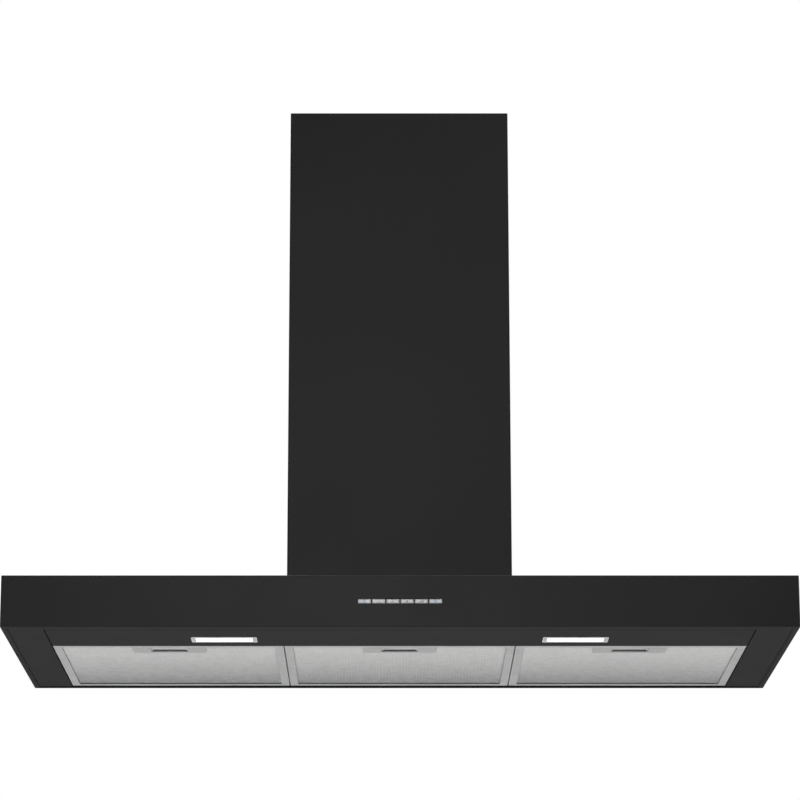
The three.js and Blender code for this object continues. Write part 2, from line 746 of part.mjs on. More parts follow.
function outletCollar() {
  const base = wideBlock(2 * collarRadius + 20, [blowerY - collarRadius - 10, blowerY + collarRadius + 10],
    [collarLow, collarLow + 2]);
  const tube = uprightRod(collarRadius, 0, blowerY, [collarLow, collarTop], 48);
  const bore = uprightRod(collarInner, 0, blowerY, [collarLow - 1, collarTop + 1], 48);
  const pinHole = sideRod(flapPin + gap, blowerY, flapZ, [-collarRadius - 5, collarRadius + 5]);
  return cutAll(base.add(tube), [bore, pinHole]);
}

// side is -1 for the front flap and 1 for the rear one; its knuckles wrap the pin at knuckleXs.
function damperFlap(side, knuckleXs) {
  const zSpan = [flapZ - flapThickness / 2, flapZ + flapThickness / 2];
  const disc = uprightRod(collarInner - 1.2, 0, blowerY, zSpan, 48);
  const ySpan = side < 0 ? [blowerY - collarRadius, blowerY - flapStart] : [blowerY + flapStart, blowerY + collarRadius];
  const half = disc.intersect(wideBlock(2 * collarRadius, ySpan, [flapZ - 5, flapZ + 5]));
  const knuckles = knuckleXs.flatMap((x) => {
    const xSpan = [x - knuckleLength / 2, x + knuckleLength / 2];
    const near = side < 0 ? [blowerY - flapStart - 1, blowerY - flapPin] : [blowerY + flapPin, blowerY + flapStart + 1];
    return [sideRod(knuckleRadius, blowerY, flapZ, xSpan), block(xSpan, near, zSpan)];
  });
  const pin = sideRod(flapPin + gap, blowerY, flapZ, [-collarRadius, collarRadius]);
  return joinAll([half, ...knuckles]).subtract(pin);
}

function addOutlet() {
  addNode('outlet_collar', outletCollar(), darkPlastic);
  addNode('damper_pin', sideRod(flapPin, blowerY, flapZ, [-collarRadius - 2, collarRadius + 2]), springSteel);
  addNode('damper_flap_front', damperFlap(-1, [-50, 20]), darkPlastic);
  addNode('damper_flap_rear', damperFlap(1, [-20, 50]), darkPlastic);
}

// Chimney: two channels open to the wall, the upper one sliding in the lower one.

const chimneyFlange = 15;

function chimneyChannel(width, frontFace, rearFace, [low, high], flange) {
  const xSpan = [-width / 2, width / 2];
  const outer = uprightPrism(xSpan, [frontFace, rearFace], [low, high], foldRadius);
  const inner = uprightPrism([xSpan[0] + sheet, xSpan[1] - sheet], [frontFace + sheet, rearFace - sheet],
    [low - 1, high + 1], foldRadius - sheet);
  const open = wideBlock(width - 2 * flange, [rearFace - 3, rearFace + 1], [low - 1, high + 1]);
  return cutAll(outer, [inner, open]);
}

function chimneyBracket(width) {
  const zSpan = [hoodHeight - 60, hoodHeight - 20];
  const flangeInside = wallY - 2 * sheet - slideGap - gap;
  const plate = wideBlock(width - 2 * chimneyFlange - 10, [flangeInside - 1, wallY], zSpan);
  const armHalf = width / 2 - sheet - gap;
  const back = wideBlock(2 * armHalf, [flangeInside - 2, flangeInside], zSpan);
  const arms = [-1, 1].map((side) => {
    const x = side * (armHalf - 1);
    return block([x - 1, x + 1], [flangeInside - 60, flangeInside - 1], zSpan);
  });
  const slots = [-1, 1].map((side) => {
    const x = side * width / 4;
    return block([x - 12, x + 12], [wallY - 10, wallY + 1], [hoodHeight - 44, hoodHeight - 36]);
  });
  return cutAll(joinAll([plate, back, ...arms]), slots);
}

function addChimney() {
  const lower = chimneyChannel(chimneyWidth, chimneyFrontY, wallY, [canopyTop + gap, hoodHeight], chimneyFlange);
  addNode('lower_chimney', lower, blackPaint);
  const upperWidth = chimneyWidth - 2 * (sheet + slideGap);
  const upper = chimneyChannel(upperWidth, chimneyFrontY + sheet + slideGap, wallY - sheet - slideGap,
    [hoodHeight - upperChimneyLength, hoodHeight - 1], chimneyFlange);
  addNode('upper_chimney', upper, blackPaint);
  addNode('chimney_wall_bracket', chimneyBracket(upperWidth), galvanised);
}

// Wall brackets inside the canopy, each with a levelling screw.

function wallBracket(x) {
  const rear = wallY - sheet - gap;
  const xSpan = [x - bracketWidth / 2, x + bracketWidth / 2];
  const plate = block(xSpan, [rear - 2, rear], [fixingZ - 16, ceiling - 3]);
  const shelf = block(xSpan, [rear - 30, rear], [ceiling - 15, ceiling - 13]);
  const screwHole = uprightRod(3.3, x, rear - 18, [0, canopyHeight], 20);
  return cutAll(plate.add(shelf), [wallFixing(x), screwHole]);
}

function levellingScrew(x) {
  const y = wallY - sheet - gap - 18;
  const stem = uprightRod(3, x, y, [ceiling - 30, ceiling - gap], 20);
  const head = uprightRod(6, x, y, [ceiling - 34, ceiling - 29], 6);
  return stem.add(head);
}

function addWallBrackets() {
  for (const [side, x] of [['left', -bracketSpacing / 2], ['right', bracketSpacing / 2]]) {
    addNode(`wall_bracket_${side}`, wallBracket(x), galvanised);
    addNode(`levelling_screw_${side}`, levellingScrew(x), springSteel);
  }
}

addNode('canopy_shell', canopyShell(), blackPaint);
addNode('under_frame', underFrame(), blackPaint);
addLightPanel();
addFilters();
addControls();
addElectronics();
addBlower();
addLooms();
addOutlet();
addChimney();
addWallBrackets();

export default hood;
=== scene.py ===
import json
import math

import bmesh
import bpy
from mathutils import Matrix, Vector


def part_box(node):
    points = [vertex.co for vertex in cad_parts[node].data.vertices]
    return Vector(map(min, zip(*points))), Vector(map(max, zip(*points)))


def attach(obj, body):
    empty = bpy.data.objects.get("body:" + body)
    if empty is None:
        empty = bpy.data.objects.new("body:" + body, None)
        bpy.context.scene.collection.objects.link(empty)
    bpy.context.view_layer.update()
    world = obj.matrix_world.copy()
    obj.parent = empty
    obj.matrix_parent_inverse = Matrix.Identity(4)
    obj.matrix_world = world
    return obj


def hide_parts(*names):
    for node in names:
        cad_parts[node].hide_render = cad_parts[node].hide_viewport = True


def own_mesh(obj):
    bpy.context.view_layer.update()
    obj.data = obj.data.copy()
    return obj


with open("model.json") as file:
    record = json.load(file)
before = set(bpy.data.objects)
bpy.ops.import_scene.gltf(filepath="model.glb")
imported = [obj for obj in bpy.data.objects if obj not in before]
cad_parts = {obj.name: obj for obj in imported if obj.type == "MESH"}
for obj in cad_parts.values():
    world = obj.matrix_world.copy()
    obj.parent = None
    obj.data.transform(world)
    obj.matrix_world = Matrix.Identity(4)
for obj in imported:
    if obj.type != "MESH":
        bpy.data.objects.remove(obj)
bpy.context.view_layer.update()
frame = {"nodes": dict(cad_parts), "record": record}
mm = 0.001
sides = ("left", "right")
places = ("left", "centre", "right")
print("frame loaded:", len(frame["nodes"]), "nodes")

# Camera, light and floor

studio = {
    "cameraPlace": (-0.0175, -5.0, -0.975),
    "cameraPitch": 14.66,  # degrees above the horizon
    "lens": 145.5,
    "sensor": 36,  # mm wide
    "shift": (0.0145, 0.068),
    "ambient": ("#ffffff", 0.22),
    "backdrop": "#ffffff",
    "floorDrop": 1.65,  # from the hood's underside
    "floorRadius": 4.2,
    "floorSides": 96,
    "floorColour": "#f2f1ee",
    "floorRoughness": 0.9,
    "floorGlow": 0.86,
}

softBoxes = {  # metres and watts
    "key": {"place": (-0.15, -4.7, 1.0), "aim": (0.0, -0.25, 0.2), "size": (1.1, 1.1), "power": 36},
    "fillRight": {"place": (3.2, -3.0, 1.0), "aim": (0.1, 0.0, 0.2), "size": (1.6, 2.4), "power": 16},
    "fillLeft": {"place": (-3.2, -3.0, 1.0), "aim": (-0.1, 0.0, 0.2), "size": (1.6, 2.4), "power": 14},
    "over": {"place": (0.4, -0.6, 3.2), "aim": (0.0, 0.0, 0.0), "size": (2.6, 2.0), "power": 70},
    "back": {"place": (-1.7, 3.1, 3.0), "aim": (0.0, 0.2, 0.2), "size": (2.4, 1.8), "power": 110},
    "right": {"place": (3.9, 2.0, 0.9), "aim": (0.1, 0.1, 0.3), "size": (1.8, 2.0), "power": 60},
    "left": {"place": (-3.9, 2.0, 0.9), "aim": (-0.1, 0.1, 0.3), "size": (1.8, 2.0), "power": 60},
}


def linear(hexColour):  # sRGB hex to the linear colour that a shader takes
    parts = [int(hexColour[i:i + 2], 16) / 255 for i in (1, 3, 5)]
    return tuple(p / 12.92 if p <= 0.04045 else ((p + 0.055) / 1.055) ** 2.4 for p in parts) + (1.0,)


def addNode(tree, kind, settings=None, links=None):
    # in settings, capitals and numbers are sockets, and the rest are options
    made = tree.nodes.new(kind)
    for key, value in (settings or {}).items():
        if isinstance(key, int) or key[0].isupper():
            made.inputs[key].default_value = value
        else:
            setattr(made, key, value)
    for key, source in (links or {}).items():
        tree.links.new(source, made.inputs[key])
    return made


def setStudio():
    camera = bpy.data.objects.new("camera", bpy.data.cameras.new("camera"))
    camera.location = studio["cameraPlace"]
    camera.rotation_euler = (math.radians(90 + studio["cameraPitch"]), 0, 0)
    camera.data.lens = studio["lens"]
    camera.data.sensor_width = studio["sensor"]
    camera.data.shift_x, camera.data.shift_y = studio["shift"]
    bpy.context.scene.collection.objects.link(camera)
    bpy.context.scene.camera = camera
    bpy.context.scene.view_settings.view_transform = "Standard"

    world = bpy.data.worlds.new("studio")
    bpy.context.scene.world = world
    world.use_nodes = True
    tree = world.node_tree
    tree.nodes.clear()
    colour, strength = studio["ambient"]
    ambient = addNode(tree, "ShaderNodeBackground", {"Color": linear(colour), "Strength": strength})
    backdrop = addNode(tree, "ShaderNodeBackground", {"Color": linear(studio["backdrop"]), "Strength": 1.0})
    seen = addNode(tree, "ShaderNodeLightPath").outputs["Is Camera Ray"]
    both = addNode(tree, "ShaderNodeMixShader", None,
                   {0: seen, 1: ambient.outputs[0], 2: backdrop.outputs[0]})
    addNode(tree, "ShaderNodeOutputWorld", None, {"Surface": both.outputs[0]})

    for name, box in softBoxes.items():
        lamp = bpy.data.lights.new(name + "SoftBox", "AREA")
        lamp.shape = "RECTANGLE"
        lamp.size, lamp.size_y = box["size"]
        lamp.energy = box["power"]
        holder = bpy.data.objects.new(name + "SoftBox", lamp)
        holder.location = box["place"]
        holder.rotation_euler = (Vector(box["aim"]) - holder.location).to_track_quat("-Z", "Y").to_euler()
        holder.visible_camera = False
        bpy.context.scene.collection.objects.link(holder)


def makeFloor():
    shape = bmesh.new()
    bmesh.ops.create_circle(shape, cap_ends=True, segments=studio["floorSides"], radius=studio["floorRadius"])
    mesh = bpy.data.meshes.new("floor")
    shape.to_mesh(mesh)
    shape.free()
    floor = bpy.data.objects.new("floor", mesh)
    floor.location = (0, 0, -studio["floorDrop"])
    bpy.context.scene.collection.objects.link(floor)
    material = bpy.data.materials.new("pale matt studio floor")
    material.use_nodes = True
    shader = material.node_tree.nodes["Principled BSDF"]
    shader.inputs["Base Color"].default_value = linear(studio["floorColour"])
    shader.inputs["Roughness"].default_value = studio["floorRoughness"]
    shader.inputs["Emission Color"].default_value = linear(studio["floorColour"])
    shader.inputs["Emission Strength"].default_value = studio["floorGlow"]
    mesh.materials.append(material)


setStudio()
makeFloor()
print("studio set")


# Materials: an empty tree with one shader for each, where place gives metres on the hood
def newMaterial(name):
    material = bpy.data.materials.new(name)
    material.use_nodes = True
    tree = material.node_tree
    tree.nodes.clear()
    shader = addNode(tree, "ShaderNodeBsdfPrincipled")
    addNode(tree, "ShaderNodeOutputMaterial", None, {"Surface": shader.outputs["BSDF"]})
    place = addNode(tree, "ShaderNodeTexCoord").outputs["Object"]
    return material, tree, shader, place


def setShader(tree, shader, links, values):
    for socket, source in links.items():
        tree.links.new(source, shader.inputs[socket])
    for socket, value in values.items():
        shader.inputs[socket].default_value = value


def perMetre(size):  # texture scale for a pattern of this many millimetres
    return 1000 / size


def mixOf(first, second):  # settings of a mix between two sRGB hex colours
    return {"data_type": "RGBA", 6: linear(first), 7: linear(second)}


def powderCoat(name, look):
    # Powder coat on sheet steel, sprayed and baked: an even satin black with a fine orange peel,
    # a little cloudiness in its gloss, and no metal showing through.
    material, tree, shader, place = newMaterial(name)
    peel = addNode(tree, "ShaderNodeTexNoise", {"Scale": perMetre(look["peelSize"]), "Detail": 2.0},
                   {"Vector": place})
    cloud = addNode(tree, "ShaderNodeTexNoise", {"Scale": perMetre(look["cloudSize"]), "Detail": 3.0},
                    {"Vector": place})
    grit = addNode(tree, "ShaderNodeTexNoise", {"Scale": perMetre(look["gritSize"]), "Detail": 1.0},
                   {"Vector": place})
    tone = addNode(tree, "ShaderNodeMath", {"operation": "MULTIPLY_ADD", 1: look["gritShare"]},
                   {0: grit.outputs[0], 2: cloud.outputs[0]})
    share = addNode(tree, "ShaderNodeMapRange",
                    {"From Min": look["darkBelow"], "From Max": look["lightAbove"]},
                    {"Value": tone.outputs[0]})
    colour = addNode(tree, "ShaderNodeMix", mixOf(look["dark"], look["light"]), {0: share.outputs[0]})
    gloss = addNode(tree, "ShaderNodeMapRange", {
        "From Min": 0.3, "From Max": 0.7,  # where most of the noise lies
        "To Min": look["roughness"] - look["glossChange"],
        "To Max": look["roughness"] + look["glossChange"]}, {"Value": cloud.outputs[0]})
    bump = addNode(tree, "ShaderNodeBump", {"Strength": 1.0, "Distance": look["peelDepth"] * mm},
                   {"Height": peel.outputs[0]})
    setShader(tree, shader, {"Base Color": colour.outputs[2], "Roughness": gloss.outputs[0],
                             "Normal": bump.outputs[0]}, {"Specular IOR Level": look["sheen"]})
    return material


canopyPaint = {
    "dark": "#121213", "light": "#18181a", "darkBelow": 0.45, "lightAbove": 0.85,
    "roughness": 0.42, "glossChange": 0.03, "sheen": 0.17,
    "peelSize": 5.0, "peelDepth": 0.05,  # mm; the real peel is about 1 mm across, drawn coarser to show
    "cloudSize": 180, "gritSize": 3.0, "gritShare": 0.25,
}
chimneyPaint = dict(canopyPaint, dark="#141415", light="#19191a", cloudSize=320)
# a darker, duller copy of the canopy paint for faces that look down: its darker colour is painted shade, and
# its roughness and lower sheen make it duller
shadedUndersidePaint = dict(canopyPaint, dark="#0f0f10", light="#141415", cloudSize=140,
                      roughness=0.6, sheen=0.05)


def spangledZinc(name, look):
    # Hot-dip galvanised sheet, rolled and folded: flat grey crystals about a centimetre across,
    # each with its own tilt and gloss, under a thin dull skin.
    material, tree, shader, place = newMaterial(name)
    wobble = addNode(tree, "ShaderNodeTexNoise", {"Scale": perMetre(look["wobbleSize"]), "Detail": 2.0},
                     {"Vector": place})
    shifted = addNode(tree, "ShaderNodeVectorMath",
                      {"operation": "MULTIPLY_ADD", 1: (look["wobbleReach"] * mm,) * 3},
                      {0: wobble.outputs["Color"], 2: place})
    cells = addNode(tree, "ShaderNodeTexVoronoi", {"Scale": perMetre(look["spangle"])},
                    {"Vector": shifted.outputs[0]})
    cellTone = addNode(tree, "ShaderNodeSeparateColor", None, {0: cells.outputs["Color"]})
    skin = addNode(tree, "ShaderNodeTexNoise", {"Scale": perMetre(look["skinSize"]), "Detail": 4.0},
                   {"Vector": place})
    colour = addNode(tree, "ShaderNodeMix", mixOf(look["dark"], look["light"]), {0: cellTone.outputs[0]})
    gloss = addNode(tree, "ShaderNodeMapRange", {"To Min": look["smoothest"], "To Max": look["roughest"]},
                    {"Value": cellTone.outputs[1]})
    bump = addNode(tree, "ShaderNodeBump", {"Strength": 0.6, "Distance": look["skinDepth"] * mm},
                   {"Height": skin.outputs[0]})
    setShader(tree, shader, {"Base Color": colour.outputs[2], "Roughness": gloss.outputs[0],
                             "Normal": bump.outputs[0]}, {"Metallic": look["metal"]})
    return material


galvanised = {
    "dark": "#8f9396", "light": "#b4b7b9", "smoothest": 0.36, "roughest": 0.57, "metal": 0.85,
    "spangle": 11.0, "wobbleSize": 7.7, "wobbleReach": 6.6, "skinSize": 2.5, "skinDepth": 0.04,  # mm
}


def grainedMetal(name, look):
    # Metal with a drawn or brushed grain: fine parallel lines that run along one direction and
    # stretch each highlight across them.
    material, tree, shader, place = newMaterial(name)
    scale = [perMetre(look["grainWidth"])] * 3
    scale["xyz".index(look["along"])] = perMetre(look["grainLength"])
    stretched = addNode(tree, "ShaderNodeMapping", {"Scale": scale}, {"Vector": place})
    grain = addNode(tree, "ShaderNodeTexNoise", {"Scale": 1.0, "Detail": 3.0},
                    {"Vector": stretched.outputs[0]})
    stain = addNode(tree, "ShaderNodeTexNoise", {"Scale": perMetre(look["stainSize"]), "Detail": 2.0},
                    {"Vector": place})
    tone = addNode(tree, "ShaderNodeMath", {"operation": "MULTIPLY_ADD", 1: look["stainShare"]},
                   {0: stain.outputs[0], 2: grain.outputs[0]})
    share = addNode(tree, "ShaderNodeMapRange",
                    {"From Min": look["darkBelow"], "From Max": look["lightAbove"]},
                    {"Value": tone.outputs[0]})
    colour = addNode(tree, "ShaderNodeMix", mixOf(look["dark"], look["light"]), {0: share.outputs[0]})
    gloss = addNode(tree, "ShaderNodeMapRange", {
        "To Min": look["roughness"] - look["glossChange"],
        "To Max": look["roughness"] + look["glossChange"]}, {"Value": grain.outputs[0]})
    bump = addNode(tree, "ShaderNodeBump", {"Strength": 0.5, "Distance": look["grainDepth"] * mm},
                   {"Height": grain.outputs[0]})
    setShader(tree, shader, {"Base Color": colour.outputs[2], "Roughness": gloss.outputs[0],
                             "Normal": bump.outputs[0]}, {"Metallic": look["metal"]})
    return material


filterAluminium = {
    "dark": "#919394", "light": "#aeb0b1", "darkBelow": 0.45, "lightAbove": 1.05,
    "roughness": 0.42, "glossChange": 0.07, "metal": 0.9, "along": "x",
    "grainLength": 60, "grainWidth": 1.5, "grainDepth": 0.02,  # mm, the width drawn ten times as coarse
    "stainSize": 50, "stainShare": 0.5,
}
handleAluminium = dict(filterAluminium, dark="#8a8c8d", light="#a2a4a5", roughness=0.48, grainLength=30)
latchZinc = dict(filterAluminium, dark="#a8acae", light="#c4c7c8", roughness=0.34, grainWidth=1.2)
springWire = dict(filterAluminium, dark="#a2a6aa", light="#cdd0d2", roughness=0.25, metal=1.0,
                  grainWidth=0.6)
brightBar = dict(filterAluminium, dark="#b2b5b8", light="#d4d6d7", roughness=0.22, metal=1.0, along="z")
castMotor = dict(filterAluminium, dark="#84888b", light="#a3a7a9", roughness=0.5, along="y", grainWidth=2.5)


def expandedAluminium(name, look):
    # Slit and stretched aluminium foil: pale grey satin strands, lighter at the handle and darkened towards
    # the rear by painted shade, with random patches of duller tone.
    material, tree, shader, place = newMaterial(name)
    film = addNode(tree, "ShaderNodeTexNoise", {"Scale": perMetre(look["filmSize"]), "Detail": 3.0},
                   {"Vector": place})
    speck = addNode(tree, "ShaderNodeTexNoise", {"Scale": perMetre(look["speckSize"]), "Detail": 1.0},
                    {"Vector": place})
    depth = addNode(tree, "ShaderNodeSeparateXYZ", None, {0: place})
    # painted shade: the strands' colour is darkened from the front towards the rear
    rearShade = addNode(tree, "ShaderNodeMapRange",
                       {"From Min": look["shadeStart"], "From Max": look["shadeFull"]},
                       {"Value": depth.outputs["Y"]})
    easedRearShade = addNode(tree, "ShaderNodeMath", {"operation": "POWER", 1: look["ease"]},
                    {0: rearShade.outputs[0]})
    patches = addNode(tree, "ShaderNodeMapRange", {
        "From Min": 0.3, "From Max": 0.7,  # where most of the noise lies
        "To Min": -look["patchShare"], "To Max": look["patchShare"]}, {"Value": film.outputs[0]})
    share = addNode(tree, "ShaderNodeMath", {"operation": "ADD"},
                    {0: easedRearShade.outputs[0], 1: patches.outputs[0]})
    colour = addNode(tree, "ShaderNodeMix", mixOf(look["light"], look["dark"]), {0: share.outputs[0]})
    gloss = addNode(tree, "ShaderNodeMapRange", {
        "To Min": look["roughness"] - look["glossChange"],
        "To Max": look["roughness"] + look["glossChange"]}, {"Value": speck.outputs[0]})
    bump = addNode(tree, "ShaderNodeBump", {"Strength": 0.6, "Distance": look["speckDepth"] * mm},
                   {"Height": speck.outputs[0]})
    setShader(tree, shader, {"Base Color": colour.outputs[2], "Roughness": gloss.outputs[0],
                             "Normal": bump.outputs[0]}, {"Metallic": look["metal"]})
    return material


meshStrands = {
    "dark": "#7e8081", "light": "#c1c2c3", "roughness": 0.55, "glossChange": 0.08, "metal": 0.5,
    "filmSize": 14, "patchShare": 0.09, "speckSize": 1.6, "speckDepth": 0.08,  # sizes in mm
    "shadeStart": -0.08, "shadeFull": 0.225, "ease": 1.6,  # where the painted shade starts and where it is full, from front to rear, in metres
}


def packedMesh(name, look):
    # The deeper layers of the same mesh, seen through the first: rows of cells darkened with painted shade
    # between grey strands, the rows half a cell apart.
    material, tree, shader, place = newMaterial(name)
    scale = (perMetre(look["cellLong"]), perMetre(look["cellShort"]), 0.0)
    scaled = addNode(tree, "ShaderNodeMapping", {"Scale": scale}, {"Vector": place})
    cells = addNode(tree, "ShaderNodeTexVoronoi",
                    {"Scale": 1.0, "Randomness": look["uneven"], "feature": "DISTANCE_TO_EDGE"},
                    {"Vector": scaled.outputs[0]})
    inCell = addNode(tree, "ShaderNodeMapRange",
                     {"From Min": look["strandEdge"], "From Max": look["cellEdge"]},
                     {"Value": cells.outputs[0]})
    # the dark colour inside each cell is painted shade in the gaps between strands
    colour = addNode(tree, "ShaderNodeMix", mixOf(look["strand"], look["hollowShade"]), {0: inCell.outputs[0]})
    bump = addNode(tree, "ShaderNodeBump",
                   {"Strength": 0.8, "Distance": look["hollowDepth"] * mm, "invert": True},
                   {"Height": inCell.outputs[0]})
    setShader(tree, shader, {"Base Color": colour.outputs[2], "Normal": bump.outputs[0]},
              {"Roughness": look["roughness"], "Metallic": look["metal"]})
    return material


meshCore = {
    "strand": "#a9abac", "hollowShade": "#55575a", "roughness": 0.6, "metal": 0.5,
    "cellLong": 5.0, "cellShort": 3.6, "hollowDepth": 0.5,  # mm
    "uneven": 0.35, "strandEdge": 0.08, "cellEdge": 0.3,  # shares of a cell
}


def mouldedPlastic(name, look):
    # Injection-moulded ABS or glass-filled nylon: even colour, a spark-eroded grain from the tool,
    # and soft gloss.
    material, tree, shader, place = newMaterial(name)
    grain = addNode(tree, "ShaderNodeTexVoronoi", {"Scale": perMetre(look["grain"])}, {"Vector": place})
    tint = addNode(tree, "ShaderNodeTexNoise", {"Scale": perMetre(look["tintSize"]), "Detail": 2.0},
                   {"Vector": place})
    colour = addNode(tree, "ShaderNodeMix", mixOf(look["dark"], look["light"]), {0: tint.outputs[0]})
    gloss = addNode(tree, "ShaderNodeMapRange", {
        "To Min": look["roughness"] - 0.05,  # smoother in the middle of each grain
        "To Max": look["roughness"] + 0.08}, {"Value": grain.outputs[0]})
    bump = addNode(tree, "ShaderNodeBump", {"Strength": 0.5, "Distance": look["grainDepth"] * mm},
                   {"Height": grain.outputs[0]})
    setShader(tree, shader, {"Base Color": colour.outputs[2], "Roughness": gloss.outputs[0],
                             "Normal": bump.outputs[0]}, {"Metallic": look["metal"]})
    return material


blackPlastic = {
    "dark": "#1a1b1c", "light": "#242526", "roughness": 0.5, "metal": 0.0,
    "grain": 1.2, "grainDepth": 0.06, "tintSize": 30,  # mm
}
whitePlastic = dict(blackPlastic, dark="#d5d6d4", light="#e2e2e0", roughness=0.42)
bezelPlastic = dict(blackPlastic, dark="#a9abac", light="#bbbdbe", roughness=0.36, metal=0.25,
                    grain=0.8, grainDepth=0.02)
endCapPlastic = dict(bezelPlastic, dark="#8a8c8e", light="#a4a6a8", roughness=0.5,
                     grain=1.6, grainDepth=0.12)
keyPlastic = dict(blackPlastic, dark="#a2a3a4", light="#aeafb0", roughness=0.36, metal=0.3,
                  grain=0.6, grainDepth=0.01)
iconInk = dict(blackPlastic, dark="#23272b", light="#2e3338", roughness=0.5)
blueInk = dict(iconInk, dark="#2b6299", light="#3a74ad")


def glowingAcrylic(name, look):
    # Opal acrylic with the lamp behind it: white light, faintly uneven across the plate.
    material, tree, shader, place = newMaterial(name)
    haze = addNode(tree, "ShaderNodeTexNoise", {"Scale": perMetre(look["hazeSize"]), "Detail": 1.0},
                   {"Vector": place})
    glow = addNode(tree, "ShaderNodeMapRange", {"To Min": look["weakest"], "To Max": look["strongest"]},
                   {"Value": haze.outputs[0]})
    setShader(tree, shader, {"Emission Strength": glow.outputs[0]},
              {"Base Color": linear(look["colour"]), "Emission Color": linear(look["light"]),
               "Roughness": look["roughness"]})
    return material


opalAcrylic = {
    "colour": "#f4f4f2", "light": "#fffdf8", "weakest": 1.012, "strongest": 1.188,
    "hazeSize": 12, "roughness": 0.35,
}


def printedBoard(name, look):
    # Glass-epoxy circuit board under green solder mask: raised copper tracks show lighter.
    material, tree, shader, place = newMaterial(name)
    black, white = (0, 0, 0, 1), (1, 1, 1, 1)
    tracks = addNode(tree, "ShaderNodeTexBrick", {
        "Scale": perMetre(look["fourRows"]), "Mortar Size": look["trackWidth"], "offset": look["stagger"],
        "Color1": black, "Color2": black, "Mortar": white}, {"Vector": place})
    drift = addNode(tree, "ShaderNodeTexNoise", {"Scale": perMetre(look["driftSize"]), "Detail": 1.0},
                    {"Vector": place})
    base = addNode(tree, "ShaderNodeMix", mixOf(look["mask"], look["maskLight"]), {0: drift.outputs[0]})
    colour = addNode(tree, "ShaderNodeMix", {"data_type": "RGBA", 7: linear(look["track"])},
                     {0: tracks.outputs[0], 6: base.outputs[2]})
    bump = addNode(tree, "ShaderNodeBump", {"Strength": 0.6, "Distance": look["trackDepth"] * mm},
                   {"Height": tracks.outputs[0]})
    setShader(tree, shader, {"Base Color": colour.outputs[2], "Normal": bump.outputs[0]},
              {"Roughness": look["roughness"]})
    return material


greenBoard = {
    "mask": "#174a2e", "maskLight": "#1d5a38", "track": "#3b7d52", "roughness": 0.35,
    "fourRows": 8.0, "trackDepth": 0.1, "driftSize": 20,  # mm
    "trackWidth": 0.12, "stagger": 0.37,  # shares of the pattern
}


def stackedSheets(name, look):
    # Transformer core of stamped, varnished silicon steel: fine parallel edges, brownish grey.
    material, tree, shader, place = newMaterial(name)
    bandStep = math.pi / 10  # a wave texture's bands are this far apart at scale 1
    edges = addNode(tree, "ShaderNodeTexWave", {
        "Scale": perMetre(look["sheetStep"]) * bandStep, "bands_direction": "Y",
        "Distortion": 0.4}, {"Vector": place})
    colour = addNode(tree, "ShaderNodeMix", mixOf(look["dark"], look["light"]), {0: edges.outputs[0]})
    bump = addNode(tree, "ShaderNodeBump", {"Strength": 0.7, "Distance": look["edgeDepth"] * mm},
                   {"Height": edges.outputs[0]})
    setShader(tree, shader, {"Base Color": colour.outputs[2], "Normal": bump.outputs[0]},
              {"Roughness": look["roughness"], "Metallic": look["metal"]})
    return material


coreSheets = {
    "dark": "#4d4844", "light": "#77716a", "roughness": 0.5, "metal": 0.7,
    "sheetStep": 1.5, "edgeDepth": 0.15,  # mm; real sheets are 0.5 mm thick, drawn three times as coarse
}


def braidedSleeve(name, look):
    # Braided polyester sleeve over the wires: small crossing bands with a dull thread shine.
    material, tree, shader, place = newMaterial(name)
    bandStep = math.pi / (5 * math.sqrt(3))  # diagonal bands are this far apart at scale 1
    bands = {"Scale": perMetre(look["bandStep"]) * bandStep, "bands_direction": "DIAGONAL"}
    one = addNode(tree, "ShaderNodeTexWave", bands, {"Vector": place})
    turned = addNode(tree, "ShaderNodeMapping", {"Scale": (-1.0, 1.0, 1.0)}, {"Vector": place})
    two = addNode(tree, "ShaderNodeTexWave", bands, {"Vector": turned.outputs[0]})
    cross = addNode(tree, "ShaderNodeMath", {"operation": "MULTIPLY"}, {0: one.outputs[0], 1: two.outputs[0]})
    colour = addNode(tree, "ShaderNodeMix", mixOf(look["dark"], look["light"]), {0: cross.outputs[0]})
    bump = addNode(tree, "ShaderNodeBump", {"Strength": 0.8, "Distance": look["bandDepth"] * mm},
                   {"Height": cross.outputs[0]})
    setShader(tree, shader, {"Base Color": colour.outputs[2], "Normal": bump.outputs[0]},
              {"Roughness": look["roughness"]})
    return material


loomBraid = {"dark": "#161616", "light": "#3a3a3b", "roughness": 0.7, "bandStep": 2.0, "bandDepth": 0.2}

